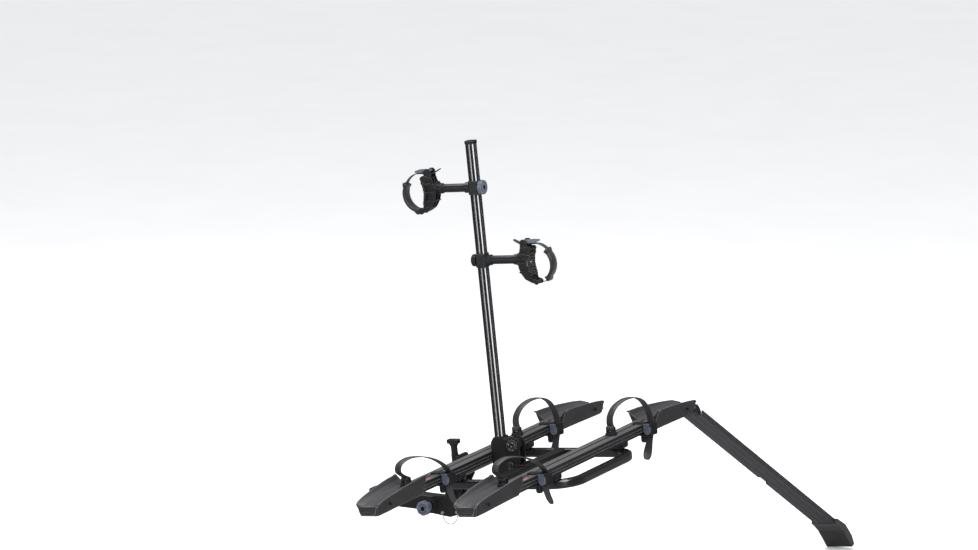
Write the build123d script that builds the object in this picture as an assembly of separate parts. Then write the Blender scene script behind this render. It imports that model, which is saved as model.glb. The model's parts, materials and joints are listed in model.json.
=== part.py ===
from build123d import *
import math
import os

# Hitch-mounted platform carrier for two bikes: hitch bracket, tilting loop frame with two wheel
# trays, a folding mast with two frame clamps, four wheel straps and a ramp on the outer tray.
# Row frame: origin in the middle of the hitch pin hole, +X along the trays toward the ramp,
# +Y toward the vehicle, +Z up, millimetres.
# Platform frame: the same axes tilted about X, origin midway between the trays at the beam tops.

os.makedirs("parts", exist_ok=True)

# ---------------------------------------------------------------- shared dimensions
tilt = 6.43                       # platform tilt, rear side up
platform_y, platform_z = -355.0, 217.0
PLATFORM = Pos(0, platform_y, platform_z) * Rot(-tilt, 0, 0)

tray_gap = 348.0                  # between the tray centre lines
tray_w, tray_h = 64.0, 32.0       # beam section
tray_half = 738.0                 # half length of a beam
trays = {"inner": tray_gap / 2, "outer": -tray_gap / 2}   # centre line y

pivot_y, pivot_z = 290.0, -140.0  # tilt pivot in the platform frame
pivot_centre = (PLATFORM * Pos(0, pivot_y, pivot_z)).position
pivot_row = (pivot_centre.Y, pivot_centre.Z)   # the same pivot in the row frame

mast_y = 114.0
mast_z0, mast_z1 = 22.0, 1018.0
mast_sq, mast_r = 30.0, 5.0


# ---------------------------------------------------------------- helpers
def box(x0, x1, y0, y1, z0, z1):
    """Box between limits, each pair in either order."""
    middle = Pos((x0 + x1) / 2, (y0 + y1) / 2, (z0 + z1) / 2)
    return middle * Box(abs(x1 - x0), abs(y1 - y0), abs(z1 - z0))


def cyl_x(r, x0, x1, y=0.0, z=0.0):
    return Pos((x0 + x1) / 2, y, z) * Rot(0, 90, 0) * Cylinder(r, abs(x1 - x0))


def cyl_y(r, y0, y1, x=0.0, z=0.0):
    return Pos(x, (y0 + y1) / 2, z) * Rot(90, 0, 0) * Cylinder(r, abs(y1 - y0))


def cyl_z(r, z0, z1, x=0.0, y=0.0):
    return Pos(x, y, (z0 + z1) / 2) * Cylinder(r, z1 - z0)


def yz_plane(x, y=0.0, z=0.0):
    return Plane((x, y, z), x_dir=(0, 1, 0), z_dir=(1, 0, 0))


def face_of(pts):
    return make_face(Polyline(*pts, close=True).edges())


def extrude_x(face, x0, x1, y=0.0, z=0.0):
    """Extrude a face drawn in (y, z) between two x, given in either order."""
    x0, x1 = sorted((x0, x1))
    return extrude(yz_plane(x0, y, z) * face, amount=x1 - x0, dir=(1, 0, 0))


def extrude_y(face, y0, y1):
    """Extrude a face drawn in (x, z) from y0 to y1."""
    plane = Plane((0, y1, 0), x_dir=(1, 0, 0), z_dir=(0, -1, 0))
    return extrude(plane * face, amount=y1 - y0, dir=(0, -1, 0))


def prism_x(pts, x0, x1):
    return extrude_x(face_of(pts), x0, x1)


def prism_y(pts, y0, y1):
    return extrude_y(face_of(pts), y0, y1)


def hex_x(across_flats, x0, x1, y=0.0, z=0.0):
    return extrude_x(RegularPolygon(across_flats / math.sqrt(3), 6), x0, x1, y, z)


def rounded_z(w, d, r, z0, height, x=0.0, y=0.0):
    """Upright prism with rounded corners."""
    return extrude(Pos(x, y, z0) * RectangleRounded(w, d, r), amount=height, dir=(0, 0, 1))


def point_at(cy, cz, r, angle):
    a = math.radians(angle)
    return cy + r * math.cos(a), cz + r * math.sin(a)


def arc_pts(cy, cz, r, a0, a1, n=16):
    return [point_at(cy, cz, r, a0 + (a1 - a0) * i / n) for i in range(n + 1)]


def ring_sector(r0, r1, a0, a1, x0, x1, y=0.0, z=0.0):
    return prism_x(arc_pts(y, z, r1, a0, a1) + arc_pts(y, z, r0, a1, a0), x0, x1)


def mirrored(half):
    """Close an outline from its half on the positive side, listed from the top."""
    return [(-x, z) for x, z in half] + half[::-1]


def offset_pts(pts, d):
    """The points moved sideways by d."""
    out = []
    for i, (x, y) in enumerate(pts):
        x0, y0 = pts[max(i - 1, 0)]
        x1, y1 = pts[min(i + 1, len(pts) - 1)]
        length = math.hypot(x1 - x0, y1 - y0)
        out.append((x - (y1 - y0) / length * d, y + (x1 - x0) / length * d))
    return out


def band_face(path, t):
    """A strip of thickness t along a path, as a face with four edges."""
    side_a = Spline(*offset_pts(path, t / 2))
    side_b = Spline(*offset_pts(path, -t / 2))
    return make_face([side_a, Line(side_a @ 1, side_b @ 1), side_b, Line(side_b @ 0, side_a @ 0)])


def smooth(path, n):
    """n + 1 points along a smooth curve through the given ones."""
    curve = Spline(*path)
    return [tuple(curve @ (i / n))[:2] for i in range(n + 1)]


def largest(shape):
    return max(shape.solids(), key=lambda solid: solid.volume)


def save(shape, name, place=Location()):
    solids = (place * shape).solids()
    shape = solids[0] if len(solids) == 1 else Compound(children=list(solids))
    shape.label = name
    export_step(shape, os.path.join("parts", name + ".step"))


# ---------------------------------------------------------------- hitch and base
tongue_w, tongue_wall = 50.8, 4.8
tongue_y0, tongue_y1 = -72, 236
tongue_corner = 5
pin_r = 8.0
plate_x0, plate_x1 = 39, 45       # side plates of the bracket
pivot_bore = 8.0
pivot_bolt_r = 7.95
hitch_bolt_r = 6.35
eye = (-102, -10)                 # hole in both side plates
wire_end = (-49, -18)             # forward end of the wire loop
wire_x = -49.5
sector_r = 60                     # notched rim around the tilt pivot

# side plate outlines in (y, z), both running over the tilt pivot and down the rear
plate_rear = arc_pts(*pivot_row, 27, -12, 190, 24) + [(-128, 18), (-130, 0), (-110, -18)]
right_outline = [(-70, 22)] + plate_rear + [(-76, -30), (-70, -26)]
left_outline = ([(-40, 36)] + plate_rear + [(-76, -31), (-58, -30)]
                + arc_pts(0, 0, 27, 255, 430, 20) + [(-14, 33)])
rear_block_outline = [(-126, 15), (-126, 1), (-108, -16), (-72, -27), (-72, 16), (-122, 16)]
# wire loop centre line in (y, z)
wire_path = [eye, (-103, -30), (-92, -48), (-72, -53), (-57, -43), (-50, -28), wire_end]


def hitch_tongue():
    half = tongue_w / 2
    bore = half - tongue_wall
    tongue = box(-half, half, tongue_y0, tongue_y1, -half, half)
    tongue = fillet(tongue.edges().filter_by(Axis.Y), tongue_corner)
    # the bore leaves a thin wall at the rear end
    tongue -= box(-bore, bore, tongue_y0 + 1, tongue_y1 + 4, -bore, bore)
    tongue -= cyl_x(pin_r, -30, 30)
    weld_nut = hex_x(24, -bore, -8.5) - cyl_x(6.45, -30, 0)
    return tongue + weld_nut


def tongue_plug():
    half = tongue_w / 2
    y = tongue_y1
    plug = box(-half, half, y, y + 5, -half, half)
    plug = fillet(plug.edges().filter_by(Axis.Y), tongue_corner)
    plug = chamfer(plug.faces().sort_by(Axis.Y)[-1].edges(), 2)
    # hollow skirt inside the tube
    plug += (box(-20.4, 20.4, y - 22, y + 0.5, -20.4, 20.4)
             - box(-17.5, 17.5, y - 23, y - 2, -17.5, 17.5))
    return plug


def hitch_bracket():
    bracket = prism_x(left_outline, -plate_x1, -plate_x0)
    bracket += prism_x(right_outline, plate_x0, plate_x1)
    bracket += prism_x(rear_block_outline, -40, 40)
    # stepped boss at the hitch pin, then a boss each side at the tilt pivot
    bracket += cyl_x(22, -47, -44) + cyl_x(17, -50, -44)
    bracket += cyl_x(14, 44, 48, *pivot_row) + cyl_x(14, -48, -44, *pivot_row)
    bracket -= cyl_x(pivot_bore, -60, -30, *pivot_row)
    bracket -= cyl_x(pivot_bore, 30, 60, *pivot_row)
    bracket -= cyl_x(6.6, -60, -30)
    bracket -= cyl_x(3.5, -60, -30, -34, 14)
    bracket -= cyl_x(7, 38, 46, *eye) + cyl_x(7, -46, -38, *eye)
    return bracket


def tilt_sector():
    """Notched sector standing on the rear block."""
    rim = arc_pts(*pivot_row, sector_r, -4, 128, 40)
    sector = prism_x([(-76, 16), (-73.5, 27), (-60, 38.5)] + rim + [(-121, 60), (-121, 16)], -6, 6)
    upright = 90 - tilt
    for turn in (0, -80, 25):
        angle = upright + turn
        notch = Pos(0, *point_at(*pivot_row, sector_r, angle)) * Rot(angle, 0, 0)
        sector -= notch * Box(14, 14, 11)
    sector -= cyl_x(pivot_bore, -10, 10, *pivot_row)
    for angle in (40, 62, 108):
        sector -= cyl_x(6, -10, 10, *point_at(*pivot_row, 38, angle))
    return sector


def tilt_pivot_bolt():
    bolt = cyl_x(pivot_bolt_r, -52, 56, *pivot_row)
    bolt += hex_x(24, -62, -52, *pivot_row)
    bolt += cyl_x(15, -52, -48, *pivot_row)
    nut = hex_x(24, 51.2, 62, *pivot_row) + cyl_x(15, 48, 51.2, *pivot_row)
    nut -= cyl_x(pivot_bolt_r, 40, 70, *pivot_row)
    return Compound(children=[bolt, nut])


def cable_loop():
    """Thin wire hanging from the left plate's eye."""
    path = Spline(*[(wire_x, y, z) for y, z in wire_path])
    wire = sweep(Plane(path @ 0, z_dir=path % 0) * Circle(1.6), path=path)
    wire += cyl_x(4.5, -54, -45, *eye) + cyl_x(4.5, -54, -45, *wire_end)
    return wire


def hitch_knob():
    """Fluted knob on the hitch pin axis."""
    knob = cyl_x(24.5, -98, -80) + cyl_x(16, -80, -62)
    knob = fillet(knob.edges().filter_by(GeomType.CIRCLE).sort_by(Axis.X)[0], 4)
    for k in range(8):
        knob -= cyl_x(6.5, -100, -79, *point_at(0, 0, 28.5, k * 45 + 22.5))
    knob -= cyl_x(hitch_bolt_r, -79, -60)
    for start in (20, 200):
        knob -= ring_sector(11.5, 16, start, start + 150, -99, -93.5)
    knob -= cyl_x(8.1, -99, -86)
    return knob


save(hitch_tongue(), "hitch_tongue")
save(tongue_plug(), "tongue_plug")
save(hitch_bracket(), "hitch_bracket")
save(tilt_sector(), "tilt_sector")
save(tilt_pivot_bolt(), "tilt_pivot_bolt")
save(cable_loop(), "cable_loop")
save(cyl_x(hitch_bolt_r, -78, -9) + cyl_x(11, -62, -50.3), "hitch_bolt")
save(hitch_knob(), "hitch_knob")
save(cyl_x(8.0, -97, -86) - box(-98, -95, -1, 1, -4.5, 4.5), "hitch_lock_core")

# ---------------------------------------------------------------- loop frame
loop_x0, loop_x1 = -235.0, 281.0
loop_y0, loop_y1 = -255.0, 265.0
loop_bar = 30.0                   # bar width and height
loop_r = 100.0                    # outer corner radius
loop_top = -50.0
loop_bottom = loop_top - loop_bar
cross_y0, cross_y1 = 13.0, 58.0
lock_y, lock_z = 282, -28         # sideways tube of the lock barrel

# pivot lug outline in (y, z)
lug_outline = ([(238, loop_bottom), (283, loop_bottom), (300, -96)]
               + arc_pts(pivot_y, pivot_z, 23, 40, -170, 20) + [(258, -112)])


def loop_frame():
    centre = ((loop_x0 + loop_x1) / 2, (loop_y0 + loop_y1) / 2)
    w, d = loop_x1 - loop_x0, loop_y1 - loop_y0
    ring = rounded_z(w, d, loop_r, loop_bottom, loop_bar, *centre)
    ring -= rounded_z(w - 2 * loop_bar, d - 2 * loop_bar, loop_r - loop_bar,
                      loop_bottom, loop_bar, *centre)
    return fillet(ring.faces().filter_by(Axis.Z).edges(), 9)


def cross_member(ring):
    cross = box(loop_x0 + loop_bar - 1.5, loop_x1 - loop_bar + 1.5, cross_y0, cross_y1,
                loop_bottom, loop_top)
    cross = fillet(cross.edges().filter_by(Axis.X), 6)
    return cross - ring


def pivot_lugs(ring):
    """Lugs that carry the frame on the tilt pivot, either side of the sector."""
    solids = []
    for side in (1, -1):
        lug = prism_x(lug_outline, side * 26, side * 34)
        lug += (cyl_x(13, side * 34, side * 38.9, pivot_y, pivot_z)
                + cyl_x(13, side * 6.2, side * 26, pivot_y, pivot_z))
        lug = lug - cyl_x(8.03, -50, 50, pivot_y, pivot_z) - ring
        solids += lug.solids()
    return Compound(children=solids)


def lock_barrel(ring):
    barrel = cyl_z(12, -76, -12, 0, pivot_y) + cyl_x(10, -10, 60, lock_y, lock_z)
    barrel += box(-10, 10, 258, 282, -50, -30) + box(-9, 9, 265, 282, -76, -40)
    return barrel - ring - cyl_z(5.3, -90, 0, 0, pivot_y) - cyl_x(5.5, 20, 80, lock_y, lock_z)


def tilt_handle():
    plunger = cyl_z(5.0, -78.5, -8, 0, pivot_y)
    head = rounded_z(25, 44, 8, 24, 13, 0, pivot_y)
    head = fillet(head.faces().sort_by(Axis.Z)[-1].edges(), 3)
    neck = loft([Pos(0, pivot_y, 13) * Circle(11), Pos(0, pivot_y, 24) * Ellipse(12, 19)])
    return plunger + cyl_z(11, -11, 13, 0, pivot_y) + neck + head


ring = loop_frame()
save(ring, "loop_frame", PLATFORM)
save(cross_member(ring), "cross_member", PLATFORM)
save(pivot_lugs(ring), "pivot_lugs", PLATFORM)
save(lock_barrel(ring), "lock_barrel", PLATFORM)
save(tilt_handle(), "tilt_handle", PLATFORM)

# ---------------------------------------------------------------- trays
slot_w, slot_in_w = 7.0, 18.4     # T-slot width at the lips and below them
slot_lip, slot_d = 2.0, 6.5       # lip thickness and whole slot depth

scoop_nose = 803.0                # scoop tip from the middle
scoop_ends = (("left", -1, 505.0), ("right", 1, 474.0))   # name, side, inner end
screw_x, screw_z = tray_half - 14, -16
catch_x, catch_z = 792.0, -24.0   # ramp catch pin

# fraction of the length from the inner end, top width, wall top, bottom z, bottom width
scoop_outside = [
    (0.0, 115, 31, -36, 73), (0.22, 113, 28.5, -36.5, 73), (0.5, 107, 21.5, -38, 73),
    (0.78, 97, 12, -40, 72), (0.93, 89, 5, -41, 68), (0.98, 84, -1, -40, 64),
    (1.0, 74, -8, -37, 56),
]
# fraction of the length, top width, wall top, floor z, floor width
scoop_hollow = [
    (-0.02, 109, 31.2, 3, 52), (0.22, 106, 28.7, 3, 52), (0.5, 99, 21.7, 2.6, 50),
    (0.78, 88, 12.2, 1.0, 46), (0.93, 80, 5.2, -3.0, 44), (1.04, 74, -4.0, -9.0, 42),
]


def tray_beam(y):
    section = RectangleRounded(tray_w, tray_h, 3.5)
    section -= (Pos(-19.5, 1.0) * RectangleRounded(17, 23, 2)
                + Pos(19.5, 1.0) * RectangleRounded(17, 23, 2)
                + Pos(0, -6.5) * RectangleRounded(16, 12, 2))
    # T-slot along the top
    top = tray_h / 2
    section -= Pos(0, top - slot_lip / 2) * Rectangle(slot_w, slot_lip + 0.002)
    section -= Pos(0, top - (slot_lip + slot_d) / 2) * Rectangle(slot_in_w, slot_d - slot_lip)
    # grooves in the sides and the top
    for side in (-1, 1):
        for z in (4.5, -5.5):
            section -= Pos(side * tray_w / 2, z) * Rectangle(2.4, 2.6)
        for offset in (14, 24):
            section -= Pos(side * offset, top) * Rectangle(2.0, 1.2)
    return extrude_x(section, -tray_half, tray_half, y, -top)


def outside_outline(w, top, bottom, bottom_w):
    """Flared walls on a flat bottom."""
    h, b = w / 2, bottom_w / 2
    knee = (h - (h - b) * 0.42, top * 0.45 + bottom * 0.22)
    return mirrored([(h, top), knee, (b + 0.6, bottom * 0.72), (b - 4, bottom)])


def hollow_outline(w, top, floor, floor_w):
    """Trough that runs out above the walls."""
    h, b = w / 2, floor_w / 2
    knee = (h - (h - b) * 0.42, top * 0.5 + floor * 0.42)
    return mirrored([(h + 3, top + 30), (h, top), knee, (b, floor + 1.5), (b - 6, floor)])


def scoop_loft(stations, outline, y, side, x_in):
    length = scoop_nose - x_in
    sections = [yz_plane(side * (x_in + length * fraction), y) * face_of(outline(*sizes))
                for fraction, *sizes in stations]
    return loft(sections[::side], ruled=True)   # always in order of rising x


def scoop(y, side, x_in):
    body = scoop_loft(scoop_outside, outside_outline, y, side, x_in)
    body -= scoop_loft(scoop_hollow, hollow_outline, y, side, x_in)
    # pocket over the beam, open below along most of it
    half = tray_w / 2 + 0.25
    body -= box(side * (x_in - 5), side * (tray_half + 0.3), y - half, y + half,
                -tray_h - 0.25, 0.25)
    body -= box(side * (x_in + 30), side * (tray_half - 40), y - 22, y + 22, -60, -tray_h + 1)
    # lip on each wall at the inner end
    for k in (-1, 1):
        lip_y = y + k * 58.5
        body += box(side * x_in, side * (x_in + 9), lip_y - 3.2, lip_y + 3.2, 26.5, 31)
    if side > 0:
        # notch in the nose, crossed by the ramp catch pin
        body -= box(scoop_nose - 30, scoop_nose + 40, y - 21, y + 21, -60, 20)
        body -= cyl_y(4.05, y - 38, y + 38, catch_x, catch_z)
    else:
        # flat slot into the nose
        body -= box(-(scoop_nose - 22), -(scoop_nose + 5), y - 24, y + 24, -33.5, -28.5)
    for k in (-1, 1):
        body -= cyl_y(3.05, y + k * 30, y + k * 70, side * screw_x, screw_z)
    if side < 0:
        # opening in the floor at the inner end
        body -= box(-559, -480, y - 18.5, y + 18.5, -0.5, 12)
    return largest(body)


def scoop_screws():
    """Side screws through the scoops into the beams."""
    screws = []
    for y in trays.values():
        for x in (-screw_x, screw_x):
            for k in (-1, 1):
                shank = cyl_y(3.0, y + k * 32.0, y + k * 42.5, x, screw_z)
                head = cyl_y(5.2, y + k * 42.5, y + k * 45.5, x, screw_z)
                head -= box(x - 1.5, x + 1.5, y + k * 44.0, y + k * 46,
                            screw_z - 1.5, screw_z + 1.5)
                screws.append(shank + head)
    return Compound(children=screws)


def ramp_catch_pins():
    return Compound(children=[cyl_y(4.0, y - 36.5, y + 36.5, catch_x, catch_z)
                              for y in trays.values()])


for tray_name, y in trays.items():
    save(tray_beam(y), tray_name + "_tray", PLATFORM)
    for end_name, side, x_in in scoop_ends:
        save(scoop(y, side, x_in), f"{tray_name}_scoop_{end_name}", PLATFORM)
save(scoop_screws(), "scoop_screws", PLATFORM)
save(ramp_catch_pins(), "ramp_catch_pins", PLATFORM)

# ---------------------------------------------------------------- saddles and frame bolts
saddle_places = [(x, y) for y in trays.values()
                 for x in (loop_x0 + loop_bar / 2, loop_x1 - loop_bar / 2)]
saddle_bolt_y = 18                # bolts either side of the saddle centre
flange_t = 6                      # mast bracket flanges on the cross member
flange_bolt_x, flange_bolt_y = 14, 27
frame_bolt_r, frame_bolt_bore = 4.0, 4.1


def tray_saddles():
    """Blocks between the loop and the beams."""
    saddles = []
    for x, y in saddle_places:
        saddle = box(x - 18, x + 18, y - 30, y + 30, loop_top, -tray_h)
        saddle = chamfer(saddle.edges().filter_by(Axis.X).group_by(Axis.Z)[0], 5)
        for k in (-1, 1):
            saddle -= cyl_z(frame_bolt_bore, -60, 0, x, y + k * saddle_bolt_y)
        saddles.append(saddle)
    return Compound(children=saddles)


def frame_bolts():
    """Plain shanks in the saddles and headed bolts in the mast bracket flange."""
    bolts = [cyl_z(frame_bolt_r, loop_top + 0.1, -tray_h - 0.1, x, y + k * saddle_bolt_y)
             for x, y in saddle_places for k in (-1, 1)]
    flange_top = loop_top + flange_t
    for x in (-flange_bolt_x, flange_bolt_x):
        bolts.append(cyl_z(frame_bolt_r, loop_top, flange_top, x, flange_bolt_y)
                     + cyl_z(7, flange_top, flange_top + 6, x, flange_bolt_y))
    return Compound(children=bolts)


save(tray_saddles(), "tray_saddles", PLATFORM)
save(frame_bolts(), "frame_bolts", PLATFORM)

# ---------------------------------------------------------------- mast and its bracket
fold = (62.0, 20.0)               # mast fold pivot (y, z)
latch = (76, -46)                 # latch bolt (y, z)
cheek_x0, cheek_x1 = 16.6, 21.5   # bracket side plates
fold_bolt_r = 6.95
foot_half = 16.4
mast_bore = 9.4

# bracket side plate outline in (y, z)
cheek_outline = ([(40, loop_top), (58.2, loop_top), (58.2, -80), (132, -80), (140, -70),
                  (140.5, 30), (130, 46), (104, 46)] + arc_pts(*fold, 25, 45, 190, 14))


def mast_bracket():
    bracket = prism_x(cheek_outline, cheek_x0, cheek_x1)
    bracket += prism_x(cheek_outline, -cheek_x1, -cheek_x0)
    bracket += box(-17, 17, 132.5, 139.5, -78, 30)
    bracket += box(-17, 17, 60, 132.5, -80, -74)
    flange_top = loop_top + flange_t
    bracket += (box(-32, 32, 14, 40.5, loop_top, flange_top)
                + box(-32, -17, 38, 58, loop_top, flange_top)
                + box(17, 32, 38, 58, loop_top, flange_top))
    bracket -= cyl_x(7.0, -60, 60, *fold)
    bracket -= cyl_x(8.0, -60, 60, *latch)
    for x in (-flange_bolt_x, flange_bolt_x):
        bracket -= cyl_z(frame_bolt_bore, -60, -20, x, flange_bolt_y)
    return bracket


def mast_pivot_bolt():
    bolt = cyl_x(fold_bolt_r, -24, 30, *fold) + cyl_x(19.5, -27, -cheek_x1, *fold)
    bolt = (bolt - ring_sector(10.5, 15.5, 20, 340, -28, -25.2, *fold)
            - cyl_x(4, -28, -24, *fold))
    nut = cyl_x(13, cheek_x1, 23.5, *fold) + hex_x(19, 23.5, 31, *fold)
    nut -= cyl_x(fold_bolt_r, 15, 50, *fold)
    return Compound(children=[bolt, nut])


def mast_latch_bolt():
    y, z = latch
    bolt = cyl_x(7.95, -24, 24, y, z)
    bolt += cyl_x(12, -29, -cheek_x1, y, z)
    bolt += cyl_x(12, cheek_x1, 27, y, z)
    return bolt - box(-30, -27, y - 1.4, y + 1.4, z - 8, z + 8)


def mast_foot():
    foot = prism_x([(92, 20), (131.3, 20), (131.3, 34), (128, 49), (94, 49)],
                   -foot_half, foot_half)
    foot += prism_x([fold] + arc_pts(*fold, 68.5, -38, 0, 10), -foot_half, foot_half)
    foot += cyl_x(20, -foot_half, foot_half, *fold)
    foot += prism_x([(58, 30), (96, 44), (96, 10), (60, 0)], -foot_half, foot_half)
    foot -= cyl_x(7.03, -30, 30, *fold)
    # socket for the mast
    return foot - rounded_z(mast_sq + 0.3, mast_sq + 0.3, mast_r, mast_z0, 60, 0, mast_y)


def mast_tube():
    """Square tube with a round bore and a groove down each side."""
    length = mast_z1 - mast_z0
    mast = rounded_z(mast_sq, mast_sq, mast_r, mast_z0, length, 0, mast_y)
    mast -= extrude(Pos(0, mast_y, mast_z0) * Circle(mast_bore), amount=length, dir=(0, 0, 1))
    z0, z1 = mast_z0 + 30, mast_z1 + 1
    for k in (-1, 1):
        edge = k * mast_sq / 2
        mast -= box(-2.7, 2.7, mast_y + edge - 2.9, mast_y + edge + 2.9, z0, z1)
        mast -= box(edge - 2.9, edge + 2.9, mast_y - 2.7, mast_y + 2.7, z0, z1)
    return mast


def mast_cap():
    cap = rounded_z(33, 33, 6, mast_z1, 5, 0, mast_y)
    cap += (rounded_z(33, 33, 6, mast_z1 - 5, 5, 0, mast_y)
            - rounded_z(30.2, 30.2, 5, mast_z1 - 5, 5, 0, mast_y))
    return fillet(cap.faces().sort_by(Axis.Z)[-1].edges(), 2)


for build in (mast_bracket, mast_pivot_bolt, mast_latch_bolt, mast_foot, mast_tube, mast_cap):
    save(build(), build.__name__, PLATFORM)

# ---------------------------------------------------------------- arms and frame clamps
# Arm frame: origin in the mast centre at arm height, +Y out along the arm, +Z up.
# The upper arm points toward the vehicle, the lower one away from it.
upper_z, lower_z = 869.0, 630.0
arm_r, arm_len = 14.0, 130.0
sleeve, sleeve_h = 37.0, 45.0
hoop = (195.0, -15.0)             # middle of the clamp hoop (y, z)
hoop_r, pad_in = 62.6, 51.0       # outside of the strap, inside of the pad
hinge = (198.0, -74.0)            # strap pin (y, z)
hinge_strap_r = 125.0             # strap end radius about the hinge
lever_pin = (163.0, 59.0)         # clamp lever pivot (y, z)

# jaw outline in (y, z): the back from the top down, then the hollow from the bottom up
cradle_back = [(150, 38), (147, 27), (139, 14), (138, -14), (140, -29), (150, -50), (160, -63),
               (174, -72), (188, -72)]
cradle_in = [(190, -66), (183, -50), (176, -30), (173.5, -11), (176, 8), (184, 24), (191, 36)]
# half outlines across the jaw and the liner, in (x, z)
jaw_half = [(17, 60), (18, 46), (24, 29), (30, 2), (30, -29), (24.5, -52), (16.5, -73), (15, -90)]
liner_half = [(16, 40), (22, 29), (27, 2), (27, -29), (22, -52)]
pocket_bands = ((20.6, 36.0), (-8.4, 15.4), (-37.4, -13.6), (-60.0, -42.6))   # z ranges


def arm():
    h = sleeve_h / 2
    body = rounded_z(sleeve, sleeve, 7, -h, sleeve_h)
    body = chamfer(body.faces().filter_by(Axis.Z).edges(), 1.2)
    body += (cyl_y(17.5, 17, 34) + cyl_y(arm_r, 30, arm_len)
             + cyl_y(17, arm_len - 12, arm_len))
    body += cyl_y(9, arm_len, 148)
    body -= rounded_z(30.9, 30.9, 5.2, -30, 60)
    return body - cyl_y(5.05, -30, 0)


def arm_knob(r):
    knob = cyl_y(r, -34, -18.9)
    knob = fillet(knob.edges().filter_by(GeomType.CIRCLE).sort_by(Axis.Y)[0], 3.2)
    for k in range(7):
        knob -= cyl_y(6, -40, -18, *point_at(0, 0, r + 4.4, k * 360 / 7))
    knob += cyl_y(5.0, -20, -15.9)
    return knob - cyl_y(7.6, -35, -26)


def at_z(outline, z):
    """The y of an outline at height z."""
    for (y0, z0), (y1, z1) in zip(outline, outline[1:]):
        if (z0 - z) * (z1 - z) <= 0:
            return y0 + (y1 - y0) * (z - z0) / (z1 - z0)


def pocket_outline(outline, shift, z0, z1):
    """From behind the jaw up to an outline moved along y by shift."""
    return [(120, z0), (at_z(outline, z0) + shift, z0), (at_z(outline, z1) + shift, z1), (120, z1)]


def clamp_jaw():
    jaw = prism_x(cradle_back + cradle_in + [(186, 43.5), (166, 42.5)], -32, 32)
    jaw &= prism_y(mirrored(jaw_half), 120, 220)
    # pockets between the ribs, on both sides and in the back
    for z0, z1 in pocket_bands:
        side = pocket_outline(cradle_in, -5, z0, z1)
        jaw -= prism_x(side, 19.6, 34) + prism_x(side, -34, -19.6)
        back = pocket_outline(cradle_back, 9, z0, z1)
        jaw -= prism_x(back, 1.6, 17) + prism_x(back, -17, -1.6)
    jaw += cyl_y(20, arm_len + 1, 160)
    jaw -= cyl_y(9.1, arm_len, 149)
    # lever cheeks on top and strap ears below
    cheek = [(150, 34), (176, 38), (176, 60), (168, 66.5), (157, 66.5), (151, 60)]
    ear = ([(170, -62), (189, -62), (200, -66.2)] + arc_pts(*hinge, 8, 75, -150, 12)
           + [(178, -74)])
    for k in (-1, 1):
        jaw += prism_x(cheek, k * 14.4, k * 18.5)
        jaw += prism_x(ear, k * 14.4, k * 18.5)
    jaw += cyl_x(2.0, -16, 16, *lever_pin)
    jaw -= cyl_x(7.2, -14.3, 14.3, *hinge)
    jaw += cyl_x(3.0, -16, 16, *hinge)
    return largest(jaw)


def clamp_liner():
    inner = cradle_in[1:-1]
    pts = [(y + 0.03, z) for y, z in inner] + [(y + 4.5, z) for y, z in inner[::-1]]
    liner = prism_x(pts, -27, 27) & prism_y(mirrored(liner_half), 120, 220)
    # grooves across the face
    for z in (14, 4, -6, -16, -26, -36, -45):
        liner -= box(-40, 40, at_z(cradle_in, z) + 3.1, 230, z - 1.2, z + 1.2)
    return liner


def clamp_strap():
    wrap = arc_pts(*hoop, hoop_r - 1.2, -84, 36, 18)
    end = arc_pts(*hinge, hinge_strap_r, 84, 112, 10)
    strap = extrude_x(band_face(wrap + [(236.5, 33.5), (226, 42.5)] + end, 2.4), -10, 10)
    strap += cyl_x(6.3, -13.5, 13.5, *hinge)
    return strap - cyl_x(3.08, -20, 20, *hinge)


def clamp_pad():
    outer = arc_pts(*hoop, hoop_r - 2.8, -66, 32, 30)
    return prism_x(outer + arc_pts(*hoop, pad_in, 29, -63, 30), -17, 17)


def clamp_lever():
    lever = prism_x([(161, 54.6), (183, 54.8), (183, 62.8), (164, 63.4)], -14, 14)
    lever += prism_x([(181, 54.8), (204, 55.4), (208, 57.8), (206, 62.2), (181, 62.9)],
                     -18.5, 18.5)
    lever += cyl_x(4.4, -14, 14, *lever_pin)
    lever -= cyl_x(2.08, -20, 20, *lever_pin)
    return lever - box(-12, 12, 186, 203, 61, 66)


UPPER = PLATFORM * Pos(0, mast_y, upper_z)
LOWER = PLATFORM * Pos(0, mast_y, lower_z) * Rot(0, 0, 180)
for level, place, knob_r in (("upper", UPPER, 23.5), ("lower", LOWER, 20.0)):
    save(arm_knob(knob_r), level + "_arm_knob", place)
    for build in (arm, clamp_jaw, clamp_liner, clamp_strap, clamp_pad, clamp_lever):
        save(build(), f"{level}_{build.__name__}", place)
save(cyl_y(7.5, -33.4, -26) - box(-1, 1, -35, -31.6, -4, 4), "upper_knob_lock", UPPER)

# ---------------------------------------------------------------- wheel straps
# Strap frame: origin on the beam top at the anchor, +X toward the ratchet, +Z up.
# The slider is built in beam axes with the anchor at the origin.
anchor_z = 22.0                   # strap hinge above the beam top
span_x, span_y = 184.0, -56.0     # anchor to ratchet
strap_w, strap_t = 28.0, 2.5
reach = math.hypot(span_x, span_y)
TURN = Rot(0, 0, math.degrees(math.atan2(span_y, span_x)))
release_x = reach - 21.5          # release lever pivot

# strap centre lines in (x, z), from the anchor to the ratchet mouth
left_path = [(0, 27.5), (-16, 38), (-31, 54), (-22, 75), (12, 86), (50, 84.5), (95, 74),
             (135, 57), (168, 34), (reach - 2.2, 8)]
right_path = [(0, 27.5), (-5, 42), (4, 62), (36, 80), (82, 89), (130, 87), (165, 72),
              (186, 46), (reach + 0.2, 22), (reach - 0.5, 8)]
# anchor x, centre line, z of the strap's free end
strap_sets = ((-540.0, left_path, -104.0), (228.0, right_path, -76.0))


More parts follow.
